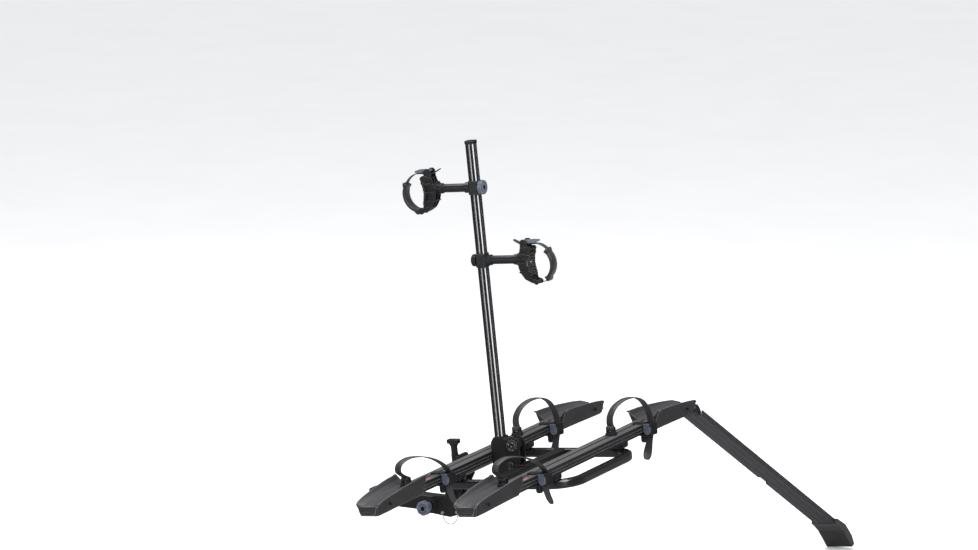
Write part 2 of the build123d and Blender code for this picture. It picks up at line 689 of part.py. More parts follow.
def strap_channel():
    """Curved passage for the strap through the ratchet, swung about the anchor."""
    return prism_y(arc_pts(0, anchor_z, reach + 2.8, -30, 8, 12)
                   + arc_pts(0, anchor_z, reach - 2.8, 8, -30, 12), -14.6, 14.6)


def ratchet_housing(channel):
    front = reach - 15.6
    housing = box(reach - 18, reach + 10, -17, 16.5, -34, 6)
    housing = chamfer(housing.edges().filter_by(Axis.Y).group_by(Axis.X)[-1], 4)
    # room for the release lever's upper end, between two ears
    housing -= box(reach - 20, front, -14.6, 14.6, -4.5, 8)
    housing += (box(reach - 25, front, -17, -14.7, -5, 5.5)
                + box(reach - 25, front, 14.7, 16.5, -5, 5.5))
    housing -= channel
    # entry mouth, wide toward the anchor
    housing -= prism_y([(reach - 20, 14), (reach - 20, 5.0), (reach - 2, -3), (reach - 2, 14)],
                       -14.6, 14.6)
    housing -= prism_y([(reach - 2, 14), (reach - 2, -4), (reach + 2.2, -4), (reach + 5.5, 5.0),
                        (reach + 5.5, 14)], -14.6, 14.6)
    return housing + cyl_y(2.0, -16, 15.5, release_x, 0)


def strap_slider():
    # runner in the T-slot, with a neck through the lips at each end
    slider = box(-12, span_x + 14, -8.6, 8.6, -6.2, -2.3)
    slider += box(-12, 12, -3.35, 3.35, -3, 1)
    slider += box(span_x - 14, span_x + 14, -3.35, 3.35, -3, 1)
    # anchor block with two ears and the strap's pin
    block = box(-12, 12, -17, 17, 0.4, 10)
    slider += chamfer(block.edges().filter_by(Axis.Z), 2)
    slider += TURN * (box(-6, 6, -17, -14.6, 6, 28) + box(-6, 6, 14.6, 17, 6, 28))
    slider -= TURN * box(-14, 14, -14.5, 14.5, 10, 40)
    slider += TURN * cyl_y(3.0, -16.8, 16.8, 0, anchor_z)
    # ratchet mount over the beam's outer edge
    slider += box(span_x - 14, span_x + 14, -42, 5, 0.4, 5)
    channel = strap_channel()
    housing = ratchet_housing(channel)
    slider -= TURN * channel + TURN * box(reach - 32, reach - 15.6, -14.65, 14.65, -6, 8)
    slider += TURN * housing
    # plate and stepped boss below the housing
    lower = box(span_x - 15, span_x + 15, -58, -13, -38, -33.6)
    lower += cyl_z(11.5, -58, -38, span_x + 2, -26) + cyl_z(9, -62, -58, span_x + 2, -26)
    lower -= TURN * channel
    slider += lower
    return largest(slider)


def strap_release():
    plane = Plane((reach - 18.7, 0, -14), x_dir=(0, 1, 0), z_dir=(-1, 0, 0))
    lever = extrude(plane * SlotCenterToCenter(9, 28, rotation=90), amount=5.5, dir=(-1, 0, 0))
    lever &= box(reach - 40, reach, -13.9, 13.9, -60, 40)
    lever += cyl_y(3.4, -14.2, 14.2, release_x, 0)
    lever -= cyl_y(2.08, -20, 20, release_x, 0)
    # finger recess
    lever -= (cyl_x(30, reach - 60, reach - 23.2, 0, -14)
              & box(reach - 40, reach - 22.7, -9, 9, -28, -9))
    return lever


def swing_angle(z):
    """Angle about the anchor at which the ratchet arc has height z."""
    return math.degrees(math.asin((z - anchor_z) / reach))


def wheel_strap(path, tail_z):
    run = smooth(path, 40) + arc_pts(0, anchor_z, reach, swing_angle(4.0), swing_angle(tail_z), 16)
    strap = extrude_y(band_face(run, strap_t), -strap_w / 2, strap_w / 2)
    strap += cyl_y(6.0, -strap_w / 2, strap_w / 2, 0, anchor_z)
    return strap - cyl_y(3.08, -20, 20, 0, anchor_z)


number = 0
for x, path, tail_z in strap_sets:
    for y in trays.values():
        number += 1
        place = PLATFORM * Pos(x, y, 0)
        save(strap_slider(), f"strap_slider_{number}", place)
        save(wheel_strap(path, tail_z), f"wheel_strap_{number}", place * TURN)
        save(strap_release(), f"strap_release_{number}", place * TURN)

# ---------------------------------------------------------------- ramp
# Ramp frame: origin on the outer tray's catch pin, +X down the ramp, +Z out of its open side.
ramp_slope = 31.4
half_w = 37.0
start, end = 57.0, 1212.0         # channel ends
bottom, top = -9.0, 10.5          # channel underside and wall tops
wall = 3
grip_x = 735.0                    # hand hole
on_floor = bottom + wall + 0.1    # underside of the hook, just above the channel floor
hook_bore = 4.12                  # around the catch pin
RAMP = PLATFORM * Pos(catch_x, trays["outer"], catch_z) * Rot(0, ramp_slope, 0)


def ramp_channel():
    inside = half_w - wall
    channel = (box(start, end, -half_w, half_w, bottom, top)
               - box(start - 5, end + 5, -inside, inside, bottom + wall, top + 5))
    # thick rims, side grooves and ribs under the floor
    for k in (-1, 1):
        rim_y = k * (half_w - 1.5)
        channel += box(start, end, rim_y - 2.6, rim_y + 2.6, top - 3.5, top)
        side_y = k * half_w
        channel -= box(start - 1, end + 1, side_y - 1.0, side_y + 1.0, bottom + 7, bottom + 9.5)
        channel += box(start, end, k * 13 - 1.2, k * 13 + 1.2, bottom - 1.2, bottom + 1)
    # cross bars on the floor
    for i in range(20):
        x = start + 100 + i * 53
        channel += box(x - 2, x + 2, -28, 28, bottom + 2.9, bottom + 4.6)
    return channel - rounded_z(66, 34, 12, bottom - 10, 16, grip_x, half_w)


def ramp_hook():
    hook = prism_y(
        [(60, on_floor), (136, on_floor), (128, top - 6), (96, 6), (60, 12), (30, 17), (12, 16)]
        + arc_pts(0, 0, 13, 75, 190, 12) + [(-10, -6), (-4.3, -1)]
        + arc_pts(0, 0, hook_bore, 180, 0, 10)
        + [(9, -4), (24, -8.9), (56.8, -8.9), (56.8, on_floor)], -17, 17)
    wide = prism_y([(24, -8.9), (56.8, -8.9), (56.8, on_floor), (64, on_floor), (64, 8),
                    (50, 17), (34, 22), (20, 20), (14, 13), (16, 4)], -30, 30)
    upper_edges = wide.faces().filter_by(Axis.Y).edges().filter_by(lambda e: e.center().Z > 10)
    hook += chamfer(upper_edges, 2)
    hook -= box(-30, 12, -7, 7, -40, 40)
    # pin seat, open below
    hook -= cyl_y(hook_bore, -30, 30, 0, 0)
    return hook - box(-hook_bore, hook_bore, -30, 30, -20, 0)


def ramp_foot():
    foot = prism_y([(end + 0.2, bottom - 1), (end + 0.2, top), (1288, 13.5), (1354, -6.5),
                    (1384, -28.5), (1368, -44.5), (1274, -14.5), (1236, bottom - 1)], -50, 50)
    foot = chamfer(foot.edges().filter_by(Axis.Y).group_by(Axis.X)[-1], 3)
    foot -= box(end - 1, 1258, -32, 32, bottom + 3, 30)
    # slanting grooves across the top
    for i in range(4):
        foot -= Pos(1292 + i * 17, 0, 7.5 - i * 6.5) * Rot(0, 20, 0) * Box(5, 76, 8)
    return foot


for build in (ramp_channel, ramp_hook, ramp_foot):
    save(build(), build.__name__, RAMP)
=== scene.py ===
"""Platform rack: two trays with ribbed wheel straps, and a mast with two frame clamps.

Row frame: metres, +Z up. The platform frame is in millimetres and tilted about X, its Z leaning
to +Y. In it the trays run along X on either side of Y = 0 and the mast rises along Z. The upper
clamp reaches to +Y and the lower one to -Y.
"""
import json
import math

import bmesh
import bpy
from mathutils import Matrix, Vector


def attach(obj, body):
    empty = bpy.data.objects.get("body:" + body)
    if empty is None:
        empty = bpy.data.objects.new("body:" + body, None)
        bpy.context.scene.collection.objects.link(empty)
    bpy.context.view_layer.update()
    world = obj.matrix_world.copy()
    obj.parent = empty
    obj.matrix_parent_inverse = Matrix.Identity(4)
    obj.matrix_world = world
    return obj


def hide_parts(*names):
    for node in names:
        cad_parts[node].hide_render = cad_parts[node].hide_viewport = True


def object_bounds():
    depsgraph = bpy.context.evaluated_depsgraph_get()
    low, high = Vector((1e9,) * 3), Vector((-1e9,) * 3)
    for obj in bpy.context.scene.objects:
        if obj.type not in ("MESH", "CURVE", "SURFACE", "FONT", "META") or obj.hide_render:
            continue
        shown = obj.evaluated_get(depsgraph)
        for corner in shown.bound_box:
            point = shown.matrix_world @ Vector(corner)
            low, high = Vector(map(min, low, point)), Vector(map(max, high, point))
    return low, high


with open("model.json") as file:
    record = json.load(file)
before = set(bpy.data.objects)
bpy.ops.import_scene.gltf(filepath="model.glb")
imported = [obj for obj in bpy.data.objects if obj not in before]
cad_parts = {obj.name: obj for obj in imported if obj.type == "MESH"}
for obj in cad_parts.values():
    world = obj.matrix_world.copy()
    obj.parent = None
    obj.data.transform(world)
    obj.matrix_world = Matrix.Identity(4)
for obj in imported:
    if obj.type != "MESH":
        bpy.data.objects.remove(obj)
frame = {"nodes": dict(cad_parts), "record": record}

CAD_BOX = [list(v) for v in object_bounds()]
SCENE = bpy.context.scene
NODES = frame["nodes"]

# ------------------------------------------------------------------ frames
MM = 0.001
TILT = math.radians(6.43)
COS_TILT, SIN_TILT = math.cos(TILT), math.sin(TILT)
PLATFORM_Y, PLATFORM_Z = -355.0, 217.0      # platform origin in the row frame, mm
TRAY_IN_Y, TRAY_OUT_Y = 174.0, -174.0       # tray centre lines
MAST_Y = 114.0


def tilted(x, y, z):
    return x, y * COS_TILT + z * SIN_TILT, -y * SIN_TILT + z * COS_TILT


def plat(x, y, z):
    """Platform millimetres to the row frame in metres."""
    x, y, z = tilted(x, y, z)
    return Vector((x, y + PLATFORM_Y, z + PLATFORM_Z)) * MM


def plat_dir(x, y, z):
    return Vector(tilted(x, y, z)).normalized()


# ------------------------------------------------------------ shader graphs
class Graph:
    """A node tree; each method adds nodes and returns an output socket."""

    def __init__(self, tree):
        self.tree = tree

    def feed(self, socket, value):
        if isinstance(value, bpy.types.NodeSocket):
            self.tree.links.new(value, socket)
        else:
            socket.default_value = value

    def add(self, kind, inputs=None, **settings):
        node = self.tree.nodes.new("ShaderNode" + kind)
        for key, value in settings.items():
            setattr(node, key, value)
        for key, value in (inputs or {}).items():
            self.feed(node.inputs[key], value)
        return node

    def calc(self, operation, *values, clamp=False):
        inputs = dict(enumerate(values))
        return self.add("Math", inputs, operation=operation, use_clamp=clamp).outputs[0]

    def times(self, first, second, clamp=False):
        return self.calc("MULTIPLY", first, second, clamp=clamp)

    def plus(self, first, second, clamp=False):
        return self.calc("ADD", first, second, clamp=clamp)

    def dot(self, first, second):
        node = self.add("VectorMath", {0: first, 1: second}, operation="DOT_PRODUCT")
        return node.outputs["Value"]

    def ramp(self, factor, start, end, dark=0.0, bright=1.0):
        """Grey ramp from dark at start to bright at end."""
        node = self.add("ValToRGB", {0: factor})
        stops = zip(node.color_ramp.elements, (start, end), (dark, bright))
        for element, position, grey in stops:
            element.position = position
            element.color = (grey, grey, grey, 1)
        return node.outputs[0]

    def mix(self, factor, *colours):
        inputs = {0: factor}
        for i, colour in enumerate(colours):
            inputs[6 + i] = (*colour, 1) if isinstance(colour, tuple) else colour
        return self.add("Mix", inputs, data_type="RGBA").outputs[2]

    def mapped(self, scale=(1, 1, 1), rotation=(0, 0, 0)):
        """Object coordinates, turned and scaled."""
        place = self.add("TexCoord").outputs["Object"]
        inputs = {"Vector": place, "Scale": scale, "Rotation": rotation}
        return self.add("Mapping", inputs).outputs[0]

    def noise(self, vector, scale, detail=3.0, roughness=0.55):
        inputs = {"Vector": vector, "Scale": scale, "Detail": detail, "Roughness": roughness}
        return self.add("TexNoise", inputs).outputs[0]

    def bump(self, height, distance, normal):
        inputs = {"Strength": 1.0, "Distance": distance, "Height": height, "Normal": normal}
        return self.add("Bump", inputs).outputs[0]

    def offsets(self, centre, direction):
        """Distances from a point: along X, and along a direction."""
        place = self.add("TexCoord").outputs["Object"]
        away = self.add("VectorMath", {0: place, 1: centre}, operation="SUBTRACT").outputs[0]
        x = self.add("SeparateXYZ", {0: away}).outputs[0]
        return x, self.dot(away, direction)


class Surface(Graph):
    """A new material, with the colour, roughness and normal built up so far."""

    def __init__(self, name):
        self.material = bpy.data.materials.new(name)
        self.material.use_nodes = True
        super().__init__(self.material.node_tree)
        self.tree.nodes.clear()
        output = self.add("OutputMaterial")
        bsdf = self.add("BsdfPrincipled")
        self.tree.links.new(bsdf.outputs[0], output.inputs[0])
        self.inputs = bsdf.inputs

    def paint(self, mask, colour):
        self.colour = self.mix(mask, self.colour, colour)

    def connect(self):
        self.feed(self.inputs["Base Color"], self.colour)
        self.feed(self.inputs["Roughness"], self.rough)
        self.feed(self.inputs["Normal"], self.normal)


# ----------------------------------------------------------------- finishes
DUST_COLOUR = (0.32, 0.32, 0.31)


def tint(colour, factor, lift=0.0):
    """A colour scaled and lifted, no brighter than white."""
    return tuple(min(1.0, channel * factor + lift) for channel in colour)


def mottle(look, where, base, rough, variation, rough_var):
    """Broad blotches and finer clouds in colour; the clouds also vary the roughness."""
    blotches = look.noise(where, scale=9.0, detail=4.0, roughness=0.6)
    clouds = look.noise(where, scale=60.0, detail=4.0, roughness=0.6)
    blotch_mask = look.ramp(blotches, start=0.3, end=0.7)
    look.colour = look.mix(blotch_mask, tint(base, 1 - variation), tint(base, 1 + variation))
    cloud_share = 0.35
    look.paint(look.times(clouds, cloud_share), tint(base, factor=1.12))
    look.rough = look.plus(rough - rough_var, look.times(clouds, rough_var * 2.0))


def worn_and_highlit_edges(look, where, amount, colour, gain, even):
    """Lighter, smoother edges, where the bevelled normal leaves the true one: partly edge wear,
    partly a painted highlight.
    """
    true_normal = look.add("NewGeometry").outputs["Normal"]
    bend = look.calc("SUBTRACT", 1.0, look.dot(look.normal, true_normal))
    mask = look.times(bend, gain, clamp=True)
    patchy = look.ramp(look.noise(where, scale=150.0), start=0.35, end=0.65,
                       dark=0.85 if even else 0.45)
    wear_and_highlight = look.times(mask, look.times(patchy, amount), clamp=True)
    # paints the edges lighter: edge wear together with a painted highlight along them
    look.paint(wear_and_highlight, colour)
    polish = 0.10
    look.rough = look.calc("SUBTRACT", look.rough, look.times(wear_and_highlight, polish), clamp=True)


def dust_and_top_light(look, where, dust, top_light_colour, top_light_amount):
    """Dust, and a painted lighter colour where light falls from above, on faces that look up.
    """
    normal = look.add("NewGeometry").outputs["Normal"]
    up = look.ramp(look.add("SeparateXYZ", {0: normal}).outputs[2], start=0.55, end=0.98)
    if dust:
        drifts = look.ramp(look.noise(where, scale=34.0, detail=6.0, roughness=0.65),
                           start=0.38, end=0.72, dark=0.2)
        layer = look.times(up, look.times(drifts, dust), clamp=True)
        look.paint(layer, DUST_COLOUR)
        dulling = 0.2
        look.rough = look.plus(look.rough, look.times(layer, dulling), clamp=True)
    # painted light: faces that look up lightened as if lit from above
    if top_light_amount:
        look.paint(look.times(up, top_light_amount), top_light_colour)


def brush(look, scale, base):
    """Brushed streaks in roughness and colour; returns them as a height."""
    streaks = look.noise(look.mapped(scale), scale=1.0, detail=5.0, roughness=0.7)
    rough_swing, colour_share = 0.22, 0.3
    swing = look.times(look.calc("SUBTRACT", streaks, 0.5), rough_swing)
    look.rough = look.plus(look.rough, swing, clamp=True)
    look.paint(look.times(streaks, colour_share), tint(base, factor=1.5))
    return streaks


def scratch(look, amount, base):
    """Sparse slanting scratches in a lighter tint."""
    slanted = look.mapped(scale=(30, 420, 420), rotation=(0.2, 0.5, 0.7))
    lines = look.ramp(look.noise(slanted, scale=1.0, roughness=0.5), start=0.66, end=0.70)
    look.paint(look.times(lines, amount), tint(base, factor=2.2, lift=0.015))


def finish(name, base, rough, edge, edge_col=None, edge_radius=0.0011, gain=3.0,
           even_edge=False, metal=0.0, spec=0.5, coat=0.0, sheen=0.0, var=0.18, rough_var=0.08,
           grain=900.0, grain_bump=0.06, brushed=None, brush_bump=0.05, cells=0.0,
           dust=0.0, top_light_col=None, top_light_amount=0.0, scratches=0.0):
    """One procedural finish. edge_radius is in metres, the bump depths in millimetres;
    grain, cells and brushed are texture scales; the rest are shares or shader values."""
    look = Surface(name)
    where = look.mapped()
    mottle(look, where, base, rough, var, rough_var)
    look.normal = look.add("Bevel", {"Radius": edge_radius}, samples=4).outputs[0]
    if edge:
        worn_and_highlit_edges(look, where, edge, edge_col or tint(base, factor=2.4, lift=0.02),
                   gain, even_edge)
    if dust or top_light_amount:
        dust_and_top_light(look, where, dust, top_light_col, top_light_amount)
    height = brush(look, brushed, base) if brushed else None
    if cells:
        voronoi = look.add("TexVoronoi", {"Vector": where, "Scale": cells})
        pits = voronoi.outputs["Distance"]
        height = look.plus(height, pits) if height else pits
    grains = look.noise(where, scale=grain, detail=2.0)
    grain_share = 0.5       # beside a coarser relief
    height = look.plus(height, look.times(grains, grain_share)) if height else grains
    if scratches:
        scratch(look, scratches, base)
    depth = brush_bump if brushed else grain_bump
    look.normal = look.bump(height, depth * MM, look.normal)
    look.connect()
    values = {"Metallic": metal, "Specular IOR Level": spec, "Coat Weight": coat,
              "Coat Roughness": 0.24, "Sheen Weight": sheen}
    for key, value in values.items():
        look.inputs[key].default_value = value
    return look


# edge_col in each finish is a lighter edge colour: edge wear together with a painted edge
# highlight
FINISHES = {
    "powder": finish(
        "powder_coat_satin", base=(0.0055, 0.0055, 0.006), rough=0.36, spec=0.35, gain=6.0,
        grain=1400, grain_bump=0.10, edge=0.45, edge_col=(0.16, 0.16, 0.165), scratches=0.10,
        dust=0.03),
    "gloss": finish(
        "gloss_black_coat", base=(0.0036, 0.0036, 0.0039), rough=0.22, grain=500,
        grain_bump=0.05, edge=0.45, edge_col=(0.20, 0.20, 0.205), coat=0.7, scratches=0.05,
        rough_var=0.04),
    # tray: the lighter top face and the bright edge lines are painted light, the edges partly
    # wear
    "tray": finish(
        "anodised_tray", base=(0.013, 0.013, 0.014), rough=0.34, metal=0.55, spec=0.4,
        gain=6.0, even_edge=True, brushed=(5, 700, 700), brush_bump=0.10, edge=1.0,
        edge_col=(0.75, 0.75, 0.76), edge_radius=0.0012, top_light_col=(0.165, 0.165, 0.168),
        top_light_amount=0.88, scratches=0.10),
    "zinc": finish(
        "zinc_plated", base=(0.36, 0.36, 0.37), rough=0.34, metal=1.0, brushed=(500, 60, 60),
        edge=0.3, var=0.25),
    # bolts: the bright edges are a painted highlight
    "bright": finish(
        "bolt_steel_highlit_edges", base=(0.010, 0.010, 0.011), rough=0.30, metal=0.5, edge=1.0,
        edge_col=(0.42, 0.42, 0.43), edge_radius=0.0016, gain=8.0, even_edge=True),
    "steel": finish(
        "black_oxide_steel", base=(0.010, 0.010, 0.011), rough=0.32, metal=0.5, edge=0.6,
        edge_col=(0.18, 0.18, 0.185)),
    # trough: lighter upward faces are painted light; bright ridge lines are a painted
    # highlight, partly edge wear
    "trough": finish(
        "trough_plastic", base=(0.0125, 0.0125, 0.0132), rough=0.40, spec=0.35, gain=11.0,
        even_edge=True, grain=1500, grain_bump=0.16, edge=0.95, edge_col=(0.34, 0.34, 0.345),
        dust=0.03, cells=1700, top_light_col=(0.050, 0.050, 0.052), top_light_amount=0.7, scratches=0.12,
        edge_radius=0.0016),
    "ramp": finish(
        "ramp_coat", base=(0.026, 0.026, 0.028), rough=0.40, metal=0.2, spec=0.35, grain=1300,
        edge=0.75, edge_col=(0.26, 0.26, 0.27), brushed=(6, 300, 300), scratches=0.12),
    "slate": finish(
        "slate_plastic", base=(0.068, 0.079, 0.102), rough=0.36, spec=0.4, grain=1300,
        grain_bump=0.12, edge=0.6, edge_col=(0.22, 0.25, 0.30), cells=1500, dust=0.03),
    "nylon": finish(
        "black_nylon", base=(0.0060, 0.0060, 0.0065), rough=0.36, spec=0.35, gain=7.0,
        grain=1400, grain_bump=0.14, edge=0.7, edge_col=(0.15, 0.15, 0.155), cells=1600,
        dust=0.02),
    "sleeve": finish(
        "black_arm_nylon", base=(0.0062, 0.0066, 0.0078), rough=0.30, spec=0.45, grain=1400,
        grain_bump=0.14, edge=0.6, edge_col=(0.15, 0.16, 0.18), cells=1600, dust=0.02),
    "rubber": finish(
        "moulded_rubber", base=(0.0085, 0.0085, 0.009), rough=0.55, spec=0.35, grain=1100,
        grain_bump=0.20, edge=0.4, edge_col=(0.09, 0.09, 0.092), cells=1200, dust=0.05,
        sheen=0.1),
    "strap": finish(
        "ribbed_strap", base=(0.019, 0.019, 0.0205), rough=0.36, spec=0.4, grain=1500,
        grain_bump=0.12, edge=0.7, edge_col=(0.17, 0.17, 0.18), dust=0.03, sheen=0.05),
    "pad": finish(
        "padded_strap", base=(0.0075, 0.0075, 0.008), rough=0.36, grain_bump=0.22, edge=0.45,
        edge_col=(0.10, 0.10, 0.102), cells=900, sheen=0.12),
    "wire": finish(
        "coated_wire", base=(0.20, 0.20, 0.205), rough=0.32, metal=0.5,
        brushed=(900, 200, 200), edge=0.0),
    "lock": finish(
        "lock_core", base=(0.020, 0.019, 0.019), rough=0.26, metal=0.9, edge=0.8),
    # mast: the light edge colour is a painted highlight along the groove edges
    "mast": finish(
        "gloss_mast", base=(0.0030, 0.0030, 0.0033), rough=0.20, spec=0.4, grain=500,
        grain_bump=0.03, edge=1.0, edge_col=(0.45, 0.45, 0.46), edge_radius=0.0008, gain=4.0,
        even_edge=True, coat=0.3, rough_var=0.03),
    "patch": finish(
        "plain_patch", base=(0.30, 0.105, 0.105), rough=0.46, grain=700, grain_bump=0.05,
        edge=0.15, edge_col=(0.5, 0.25, 0.25), dust=0.06),
}
SLOT_FINISH = {
    "black_powder_coat": "powder", "black_gloss_coat": "gloss", "anodised_black": "tray",
    "zinc_steel": "zinc", "black_steel": "steel", "trough_plastic": "trough",
    "ramp_metal": "ramp", "slate_plastic": "slate", "black_plastic": "nylon",
    "black_rubber": "rubber", "strap_plastic": "strap", "galvanised_wire": "wire",
    "lock_brass": "lock",
}
# Pieces whose finish differs from that of their slot.
NODE_FINISH = {
    "upper_arm": "sleeve", "lower_arm": "sleeve", "mast_tube": "mast",
    "mast_pivot_bolt": "bright", "mast_latch_bolt": "bright",
}


def paint_highlight_lines(look):
    """Painted highlight lines down the mast: the slot floors of two faces and two corners."""
    slot_x, slot_half_width, corner = 0.0110, 0.0019, 0.0132    # metres from the mast axis
    least, swing = 0.55, 0.5                                    # strength along the lines
    x, y = look.offsets(tuple(plat(0.0, MAST_Y, 0.0)), tuple(plat_dir(0, 1, 0)))
    side, off_centre = look.calc("ABSOLUTE", x), look.calc("ABSOLUTE", y)
    slots = look.times(look.calc("GREATER_THAN", side, slot_x),
                       look.calc("LESS_THAN", off_centre, slot_half_width))
    corners = look.calc("GREATER_THAN", look.times(x, y), corner * corner)
    mask = look.plus(slots, corners, clamp=True)
    streaks = look.noise(look.mapped(scale=(60, 60, 4)), scale=1.0)
    strength = look.plus(least, look.times(streaks, swing))
    # painted highlight: light lines where lamps would reflect
    look.paint(look.times(mask, strength, clamp=True), (0.55, 0.55, 0.56))
    look.connect()


def set_material(node, material):
    if not node.material_slots:
        node.data.materials.append(material)
    for slot in node.material_slots:
        slot.material = material


paint_highlight_lines(FINISHES["mast"])
SHARP_ANGLE = math.radians(28)
for subpart in frame["record"]["subparts"]:
    node = NODES[subpart["node"]]
    key = NODE_FINISH.get(subpart["node"], SLOT_FINISH[subpart["material_slot"]])
    set_material(node, FINISHES[key].material)
    # round faces shade as round, edges stay crisp
    for face in node.data.polygons:
        face.use_smooth = True
    node.data.set_sharp_from_angle(angle=SHARP_ANGLE)


# ------------------------------------------------------- curves and meshes
def resample(points, step):
    """Evenly spaced points along a polyline."""
    reach = [0.0]
    for here, there in zip(points, points[1:]):
        reach.append(reach[-1] + (there - here).length)
    count = max(2, int(round(reach[-1] / step)))
    out, j = [], 0
    for i in range(count + 1):
        target = reach[-1] * i / count
        while j < len(reach) - 2 and reach[j + 1] < target:
            j += 1
        t = (target - reach[j]) / max(reach[j + 1] - reach[j], 1e-9)
        out.append(points[j].lerp(points[j + 1], min(max(t, 0.0), 1.0)))
    return out


def smooth_curve(points, step):
    """Evenly spaced points along a Catmull-Rom curve through the given ones."""
    points = [Vector(p) for p in points]
    padded = [points[0]] + points + [points[-1]]
    out = []
    for a, b, c, d in zip(padded, padded[1:], padded[2:], padded[3:]):
        count = max(4, int((c - b).length))
        for k in range(count):
            t = k / count
            out.append(0.5 * ((2 * b) + (c - a) * t + (2 * a - 5 * b + 4 * c - d) * t * t
                              + (3 * b - a - 3 * c + d) * t ** 3))
    out.append(points[-1])
    return resample(out, step)


def arc(centre, radius, start, end, count):
    """Points on an arc; angles in degrees."""
    points = []
    for i in range(count + 1):
        angle = math.radians(start + (end - start) * i / count)
        points.append(Vector((centre[0] + radius * math.cos(angle),
                              centre[1] + radius * math.sin(angle))))
    return points


def ring_faces(rings, size, closed=True, closed_profile=True):
    """Quads between neighbouring rings of size points each."""
    faces = []
    for i in range(rings if closed else rings - 1):
        here, there = i * size, (i + 1) % rings * size
        for j in range(size if closed_profile else size - 1):
            k = (j + 1) % size
            faces.append((here + j, here + k, there + k, there + j))
    return faces


def mesh_piece(name, verts, faces, look, smooth=True):
    mesh = bpy.data.meshes.new(name)
    mesh.from_pydata([tuple(v) for v in verts], [], faces)
    mesh.update()
    bm = bmesh.new()
    bm.from_mesh(mesh)
    bmesh.ops.recalc_face_normals(bm, faces=bm.faces)
    bm.to_mesh(mesh)
    bm.free()
    piece = bpy.data.objects.new(name, mesh)
    SCENE.collection.objects.link(piece)
    mesh.materials.append(look.material)
    if smooth:
        for face in mesh.polygons:
            face.use_smooth = len(face.vertices) == 4
    return piece


def sweep(name, path, section, place, look):
    """Capped sweep along a 2-D path in millimetres. section(s, length) gives a ring of
    (offset to the left of travel, across); place(along, z, across) gives metres."""
    reach = [0.0]
    for here, there in zip(path, path[1:]):
        reach.append(reach[-1] + (there - here).length)
    count, verts = len(path), []
    for i, point in enumerate(path):
        heading = (path[min(i + 1, count - 1)] - path[max(i - 1, 0)]).normalized()
        normal = Vector((-heading.y, heading.x))
        ring = section(reach[i], reach[-1])
        for out, across in ring:
            verts.append(place(point.x + normal.x * out, point.y + normal.y * out, across))
    size = len(ring)
    faces = ring_faces(count, size, closed=False)
    faces.append(tuple(range(size - 1, -1, -1)))
    faces.append(tuple((count - 1) * size + j for j in range(size)))
    return mesh_piece(name, verts, faces, look)


def hand_over(piece, body, stands_for=None):
    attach(piece, body)
    if stands_for:
        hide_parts(stands_for)


# ---------------------------------------------------------- strap sections
def strap_section(width, thick, pitch, tooth, taper, plain_to, boot=0.0):
    """Flat strap with raised rims, and ladder teeth along the middle of one side.
    The far end narrows over taper; the teeth start after plain_to."""
    chamfer, rim = 0.45, 0.25
    ladder_share = 0.62         # tooth length over strap width
    end_share = 0.34            # width left at the tip
    end_plain = 6               # toothless length at the tip
    boot_thick = 3.0
    face = thick / 2
    top = face + rim

    def ring(s, length):
        half = width / 2
        if length - s < taper:
            rounding = math.sin(math.acos(min(1.0, 1 - (length - s) / taper)))
            half *= end_share + (1 - end_share) * rounding
        crest = face
        if s > plain_to and length - s > end_plain and 0.25 < (s % pitch) / pitch < 0.8:
            crest = face + tooth
        ladder = half * ladder_share
        back = face
        if s < boot:
            # the strap thickens into a moulded boot at its anchored end
            back = face + boot_thick * (0.5 + 0.5 * math.cos(math.pi * s / boot))
        side = [(-back, ladder), (-back, half - chamfer), (-back + chamfer, half),
                (top - chamfer, half), (top, half - chamfer), (top, ladder + 1.2),
                (face, ladder + 0.5), (crest, ladder)]
        mirrored = [(out, -across) for out, across in reversed(side)]
        return mirrored[-3:] + side + mirrored[:-3]
    return ring


def twisted(section, angle, over):
    """The section turning about the path over its last length."""
    def ring(s, length):
        f = min(max((over - (length - s)) / over, 0.0), 1.0)
        turn = angle * f * f * (3 - 2 * f)
        c, q = math.cos(turn), math.sin(turn)
        return [(out * c - across * q, out * q + across * c)
                for out, across in section(s, length)]
    return ring


def flipped(section):
    """The section with its toothed side on the other side of the path."""
    def ring(s, length):
        return [(-out, across) for out, across in section(s, length)]
    return ring


def strap_eye(name, profile, centre, place, start=0.0):
    """Rolled strap end round a pin. profile: (radius, across)."""
    segments, verts = 24, []
    for i in range(segments):
        angle = i / segments * math.tau + start
        for radius, across in profile:
            verts.append(place(centre[0] + math.cos(angle) * radius,
                               centre[1] + math.sin(angle) * radius, across))
    return mesh_piece(name, verts, ring_faces(segments, len(profile)), FINISHES["strap"])


# ------------------------------------------------------------- wheel straps
STRAP_RUN_X, STRAP_RUN_Y = 184.0, -56.0     # from a strap's foot across the tray, in plan
HEADING = math.atan2(STRAP_RUN_Y, STRAP_RUN_X)
REACH = math.hypot(STRAP_RUN_X, STRAP_RUN_Y)
ANCHOR_Z = 22.0                             # anchor pin height

# Strap paths: (along the heading, z), mm from the foot.
LEFT_PATH = [
    (0, 27.5), (-16, 38), (-31, 54), (-22, 75), (12, 86), (50, 84.5), (95, 74), (135, 57),
    (168, 34), (REACH - 2.2, 8), (REACH - 1.2, -6), (REACH - 4.2, -20), (REACH - 7.4, -34),
    (REACH - 7.6, -46), (REACH - 3.4, -62), (REACH + 3.4, -80), (REACH + 12.0, -100),
]
RIGHT_PATH = [
    (0, 27.5), (-2, 44), (5, 67), (30, 91), (74, 105), (120, 103), (155, 87), (178, 58),
    (REACH - 1.4, 26), (REACH - 0.7, 8), (REACH - 1.4, -8), (REACH - 4.0, -20),
    (REACH - 7.6, -34), (REACH - 13.0, -50), (REACH - 21.0, -72), (REACH - 29.0, -93),
    (REACH - 37.0, -114),
]
LEFT_X, RIGHT_X = -540.0, 228.0
